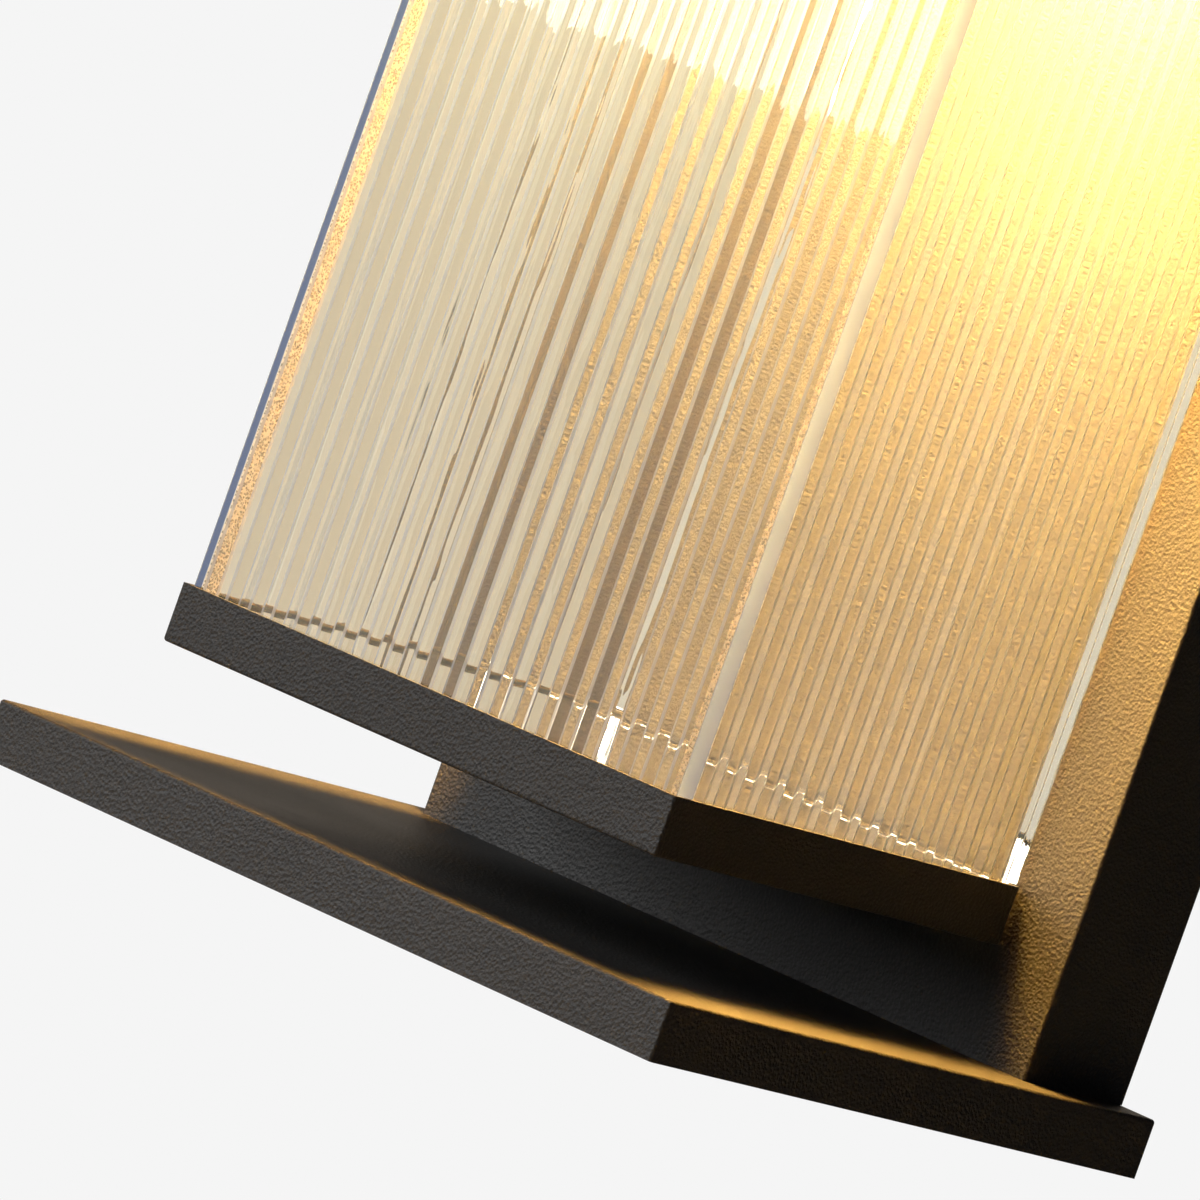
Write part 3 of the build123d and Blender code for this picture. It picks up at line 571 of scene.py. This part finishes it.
# Painted light and shade: the pale and the deep flank tints stand in for the gold and brown bands
# that the ribs bend into view.
painted_lit_band_tint = (0.98, 0.955, 0.88)
painted_shade_band_tint = (0.82, 0.74, 0.6)
seal_tint = (0.97, 0.95, 0.88)
passing_tint = (0.99, 0.935, 0.85)
ground_colour = (0.09, 0.125, 0.23, 1)
# Painted highlight: the share of white in the crest and valley lines, standing in for the key light
# mirrored in them.
highlight_weight = 0.5
highlight_through_share = 0.05


def painted_rib_highlights(tree):
    """Painted highlights for the crests and valleys: white lit by the key light outside, the bulb's
    light from inside.
    """
    scattered = add_node(tree, "ShaderNodeBsdfDiffuse", Color=(0.7, 0.71, 0.78, 1))
    through = add_node(tree, "ShaderNodeBsdfTranslucent", Color=(0.3, 0.45, 0.85, 1))
    return mixed_shaders(
        tree, highlight_through_share, scattered.outputs["BSDF"], through.outputs["BSDF"]
    )


def passing_light(tree, tint):
    """What a lamp's ray keeps on its way through: all when square on, less when it grazes."""
    slant = tree.nodes.new("ShaderNodeLayerWeight")
    loss = add_node(tree, "ShaderNodeMapRange", From_Min=0.6, From_Max=1.0)
    tree.links.new(slant.outputs["Facing"], loss.inputs["Value"])
    passing = tree.nodes.new("ShaderNodeBsdfTransparent")
    colour = colour_between(tree, loss.outputs["Result"], tint, (0.0, 0.0, 0.0))
    tree.links.new(colour, passing.inputs["Color"])
    return passing.outputs["BSDF"]


def uneven_surface(tree, shader, scale, strength, distance):
    """The slow waves of rolled glass, drawn out upwards."""
    waves = add_node(tree, "ShaderNodeTexNoise", Scale=scale, Detail=2.0)
    squeeze = add_node(tree, "ShaderNodeMapping", Scale=(1, 1, 0.12))
    tree.links.new(object_coordinates(tree), squeeze.inputs["Vector"])
    tree.links.new(squeeze.outputs["Vector"], waves.inputs["Vector"])
    bump_from(tree, waves.outputs["Fac"], shader, strength, distance)


def clear_glass(slot, lit_band_tint, shade_band_tint, highlight_share, waves):
    """Clear glass that lamps shine through, with painted light and shade as a tint for each flank
    of a rib and painted highlights on its crests and valleys.
    """
    tree, shader = start_material(slot)
    flank, lines = rib_masks(tree)
    # Painted light and shade: one flank of each rib takes the pale tint, the other the deep one.
    colour = colour_between(tree, flank, shade_band_tint, lit_band_tint)
    tree.links.new(colour, shader.inputs["Base Color"])
    shader.inputs["Roughness"].default_value = 0.0
    shader.inputs["IOR"].default_value = 1.5
    shader.inputs["Transmission Weight"].default_value = 1.0
    uneven_surface(tree, shader, *waves)
    haze = add_node(tree, "ShaderNodeBsdfTranslucent", Color=haze_colour).outputs["BSDF"]
    ground = add_node(tree, "ShaderNodeBsdfTranslucent", Color=ground_colour).outputs["BSDF"]
    hazy = mixed_shaders(tree, glass_haze, shader.outputs["BSDF"], haze)
    # Painted highlights: the crests and valleys turn partly white.
    lined = mixed_shaders(tree, value_between(tree, lines, 0.0, highlight_share), hazy, painted_rib_highlights(tree))
    edged = mixed_shaders(tree, ground_edges(tree), lined, ground)
    path = tree.nodes.new("ShaderNodeLightPath")
    passing = passing_light(tree, passing_tint)
    whole = mixed_shaders(tree, path.outputs["Is Shadow Ray"], edged, passing)
    tree.links.new(whole, tree.nodes["Material Output"].inputs["Surface"])


clear_glass("reeded_glass", painted_lit_band_tint, painted_shade_band_tint, highlight_weight, (260.0, 0.25, 0.00012))
clear_glass("clear_seal", seal_tint, seal_tint, 0.0, (900.0, 0.2, 0.0001))
print("glass mixed")

# %% [markdown]
# The panes are bonded along the front corners and bedded in the cap with a sealant. Cured sealant
# is nearly clear but full of tiny bubbles, so it catches the bulb's light down each corner. It is
# mostly glass with a trace of a pale body colour, speckled by small round cells.

# %% Mix the sealant


def bubbly_bond():
    """Nearly clear, a little pale, with bubbles."""
    tree, shader = start_material("clear_bond")
    cells = add_node(tree, "ShaderNodeTexVoronoi", Scale=2600.0)
    tree.links.new(object_coordinates(tree), cells.inputs["Vector"])
    speck = value_between(tree, cells.outputs["Distance"], 0.0, 1.0)
    colour = colour_between(tree, speck, (0.8, 0.79, 0.76), (0.95, 0.94, 0.92))
    tree.links.new(colour, shader.inputs["Base Color"])
    tree.links.new(value_between(tree, speck, 0.15, 0.4), shader.inputs["Roughness"])
    shader.inputs["Transmission Weight"].default_value = 0.97
    shader.inputs["IOR"].default_value = 1.42
    bump_from(tree, speck, shader, 0.2, 0.0001)
    path = tree.nodes.new("ShaderNodeLightPath")
    passing = add_node(tree, "ShaderNodeBsdfTransparent", Color=(0.9, 0.88, 0.84, 1))
    whole = mixed_shaders(
        tree, path.outputs["Is Shadow Ray"], shader.outputs["BSDF"], passing.outputs["BSDF"]
    )
    tree.links.new(whole, tree.nodes["Material Output"].inputs["Surface"])


bubbly_bond()
print("sealant mixed")

# %% [markdown]
# ## The lit bulb
# The envelope is frosted and glows evenly, a little yellower than white, as a warm bulb does.
# It is the lamp's own light: it paints the back box and the bottom plate gold. An emission colour
# with a faint mottling does it. The strips inside glow too.

# %% Mix the glowing parts
bulb_glow = (1.0, 0.56, 0.12)
bulb_strength = 690.0


def glowing(slot, first, second, strength):
    """A frosted surface that gives light."""
    tree, shader = start_material(slot)
    grain = use_group(tree, grain_group, Scale=900.0, Patches=60.0)
    colour = colour_between(tree, grain.outputs["Patch"], first, second)
    tree.links.new(colour, shader.inputs["Emission Color"])
    shader.inputs["Emission Strength"].default_value = strength
    shader.inputs["Base Color"].default_value = (0.9, 0.86, 0.78, 1)
    rough = value_between(tree, grain.outputs["Speckle"], 0.3, 0.5)
    tree.links.new(rough, shader.inputs["Roughness"])


glowing("bulb_opal", bulb_glow, (1.0, 0.6, 0.15), bulb_strength)
glowing("light_strips", (1.0, 0.62, 0.2), (1.0, 0.7, 0.3), 40.0)
print("bulb strength", bulb_strength)

# %% [markdown]
# ## The tray's bright floor
# In the photograph the reeds run straight down to the tray's rim without a break, so the floor
# between the panes must mirror them. It is left as bare polished metal inside, while the outside
# is coated. A flat box-shaped mask in Object coordinates finds the recess's floor: each axis gives
# a factor that is one inside it, and their product switches the coat to polished metal. The
# recess's low walls keep the coat, because as mirrors they would show the bulb as bright shapes.

# %% Mix the tray's finish
recess_half_width = 0.05735
recess_front_y = -0.10995
recess_back_y = -0.02725
recess_low_z = -0.1373
recess_high_z = -0.1371
polished_metal = (0.86, 0.85, 0.83, 1)
polished_roughness = 0.03


def tray_finish():
    """The coat outside and bare polished metal on the recess's floor."""
    tree, shader, coat_colour, coat_rough = powder_coat("tray_coat")
    place = parts_of(tree, object_coordinates(tree))
    wide = between_mask(tree, place["X"], -recess_half_width, recess_half_width)
    deep = between_mask(tree, place["Y"], recess_front_y, recess_back_y)
    high = between_mask(tree, place["Z"], recess_low_z, recess_high_z)
    mask = calculated(tree, "MULTIPLY", calculated(tree, "MULTIPLY", wide, deep), high)
    bare = tree.nodes.new("ShaderNodeMix")
    bare.data_type = "RGBA"
    bare.inputs["B"].default_value = polished_metal
    tree.links.new(mask, bare.inputs["Factor"])
    tree.links.new(coat_colour, bare.inputs["A"])
    tree.links.new(bare.outputs["Result"], shader.inputs["Base Color"])
    smooth = tree.nodes.new("ShaderNodeMix")
    smooth.inputs["B"].default_value = polished_roughness
    tree.links.new(mask, smooth.inputs["Factor"])
    tree.links.new(coat_rough, smooth.inputs["A"])
    tree.links.new(smooth.outputs["Result"], shader.inputs["Roughness"])
    tree.links.new(mask, shader.inputs["Metallic"])
    coated = calculated(tree, "SUBTRACT", 1.0, mask)
    bump = shader.inputs["Normal"].links[0].from_node
    tree.links.new(coated, bump.inputs["Strength"])


tray_finish()
print("tray finish mixed")

# %% [markdown]
# ## Dress the solids
# Each solid already has a slot in the record, so its material is the one mixed for that slot.
# Only the tray takes its own version of the coat, and the seals beside the box and under the
# panes are clear strips without bubbles.

# %% Put the materials on the solids
own_finish = {
    "shade_tray": "tray_coat",
    "side_seals": "clear_seal",
    "tray_glass_bed": "clear_seal",
}


def dress_solids():
    """Gives every solid the material of its slot."""
    slots = {row["node"]: row["material_slot"] for row in frame["record"]["subparts"]}
    for name, solid in frame["nodes"].items():
        finish = materials[own_finish.get(name, slots[name])]
        solid.data.materials.clear()
        solid.data.materials.append(finish)
    return len(slots)


print("solids dressed:", dress_solids())

# %% [markdown]
# ## The ribbed panes
# The solids of the panes have their ribs, as many and as deep, but as plain arcs in a few facets
# each. What shows through a rib hangs on its profile, so each pane is made again with a finer one.
# One way is an array of one rib. Here a single vertex runs up the first rib's flat flank, is spun
# over its rounded crest and runs down again, then on along the next rib, so the whole profile is
# one unbroken line. The flat flanks show what lies behind in two clean bands a rib, and the crest
# catches the key light as a thin line. The glass material adds painted light and shade to the two
# bands and a painted highlight to each crest and valley. Extruding the line back and flattening the
# far side gives the end face, and extruding that upwards gives the pane. A narrow flat in each
# valley stays sharp at both sides.

# %% Helpers for meshes


def finish_piece(bm, name, body, slot):
    """Turns a bmesh into an object that rides on a body and has its finish."""
    mesh = bpy.data.meshes.new(name)
    bm.to_mesh(mesh)
    bm.free()
    piece = bpy.data.objects.new(name, mesh)
    bpy.context.collection.objects.link(piece)
    mesh.materials.append(materials[slot])
    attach(piece, body)
    return piece


def moved(bm, matrix):
    """Applies a placement to a whole bmesh."""
    bmesh.ops.transform(bm, matrix=matrix, verts=bm.verts)


print("mesh helpers ready")

# %% Roll the panes
rib_height = 0.0003
crest_share = 0.2
valley_share = 0.07
crest_steps = 8
pane_thickness = 0.004
front_ribs = 21
side_ribs = 16
crest_margin = 0.98
upright_least = 1e-6


def crest_sizes(pitch):
    """Half width, flank angle and radius of a rib's rounded crest."""
    half_width = crest_share * pitch / 2
    angle = math.atan(rib_height / (pitch / 2 - half_width / 2 - valley_share * pitch / 2))
    return half_width, angle, half_width / math.sin(angle)


def run_to(bm, vertex, x, y):
    """Extrudes the line's end to a new point and returns it."""
    grown = bmesh.ops.extrude_vert_indiv(bm, verts=[vertex])
    grown["verts"][0].co = (x, y, 0)
    return grown["verts"][0]


def ribbed_line(bm, length, count):
    """Flank, crest, flank, from rib to rib; the crests touch y = 0."""
    pitch = length / count
    half_width, angle, radius = crest_sizes(pitch)
    shoulder = radius * (1 - math.cos(angle))
    valley = valley_share * pitch / 2
    vertex = bm.verts.new((0, rib_height, 0))
    for i in range(count):
        middle = (i + 0.5) * pitch
        vertex = run_to(bm, vertex, i * pitch + valley, rib_height)
        vertex = run_to(bm, vertex, middle - half_width, shoulder)
        centre = (middle, radius, 0)
        spun = bmesh.ops.spin(
            bm, geom=[vertex], cent=centre, axis=(0, 0, 1), angle=2 * angle, steps=crest_steps
        )
        vertex = run_to(bm, spun["geom_last"][0], (i + 1) * pitch - valley, rib_height)
    run_to(bm, vertex, length, rib_height)
    return list(bm.edges)


def ribbed_pane(length, count, height):
    """A closed pane: ribs towards -Y, flat back, from the origin to length and height."""
    bm = bmesh.new()
    line = ribbed_line(bm, length, count)
    back = bmesh.ops.extrude_edge_only(bm, edges=line)
    verts = [g for g in back["geom"] if isinstance(g, bmesh.types.BMVert)]
    flatten = Matrix.Translation((0, pane_thickness, 0)) @ Matrix.Diagonal((1, 0, 1, 1))
    bmesh.ops.transform(bm, matrix=flatten, verts=verts)
    bm.normal_update()
    top = bmesh.ops.extrude_face_region(bm, geom=list(bm.faces), use_keep_orig=True)
    verts = [g for g in top["geom"] if isinstance(g, bmesh.types.BMVert)]
    bmesh.ops.translate(bm, verts=verts, vec=(0, 0, height))
    bmesh.ops.recalc_face_normals(bm, faces=bm.faces)
    return bm


def soften_ribs(bm, length, count):
    """Smooth crests between flat flanks, with sharp valleys and sharp outer edges."""
    pitch = length / count
    half_width = crest_sizes(pitch)[0]
    for face in bm.faces:
        face.smooth = True
    for edge in bm.edges:
        middle = (edge.verts[0].co + edge.verts[1].co) / 2
        upright = abs(edge.verts[0].co.z - edge.verts[1].co.z) > upright_least
        from_crest = abs(middle.x / pitch % 1 - 0.5) * pitch
        on_crest = from_crest < crest_margin * half_width and middle.y < pane_thickness / 2
        edge.smooth = upright and on_crest


def add_pane(node, length, count, place):
    """One pane in the place of its solid."""
    low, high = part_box(node)
    bm = ribbed_pane(length, count, high[2] - low[2])
    soften_ribs(bm, length, count)
    moved(bm, place)
    piece = finish_piece(bm, "ribbed_" + node, "shade", "reeded_glass")
    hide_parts(node)
    print(piece.name, "ribs", count, "pitch mm", round(1000 * length / count, 2))
    return piece


front_low, front_high = (Vector(v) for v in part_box("glass_front"))
left_low, left_high = (Vector(v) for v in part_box("glass_left"))
right_low, right_high = (Vector(v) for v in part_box("glass_right"))
side_length = right_high.y - right_low.y
quarter = math.radians(90)
add_pane("glass_front", front_high.x - front_low.x, front_ribs, Matrix.Translation(front_low))
right_corner = Matrix.Translation((right_high.x, right_low.y, right_low.z))
right_place = right_corner @ Matrix.Rotation(quarter, 4, "Z")
add_pane("glass_right", side_length, side_ribs, right_place)
left_corner = Matrix.Translation((left_low.x, left_high.y, left_low.z))
left_place = left_corner @ Matrix.Rotation(-quarter, 4, "Z")
add_pane("glass_left", side_length, side_ribs, left_place)
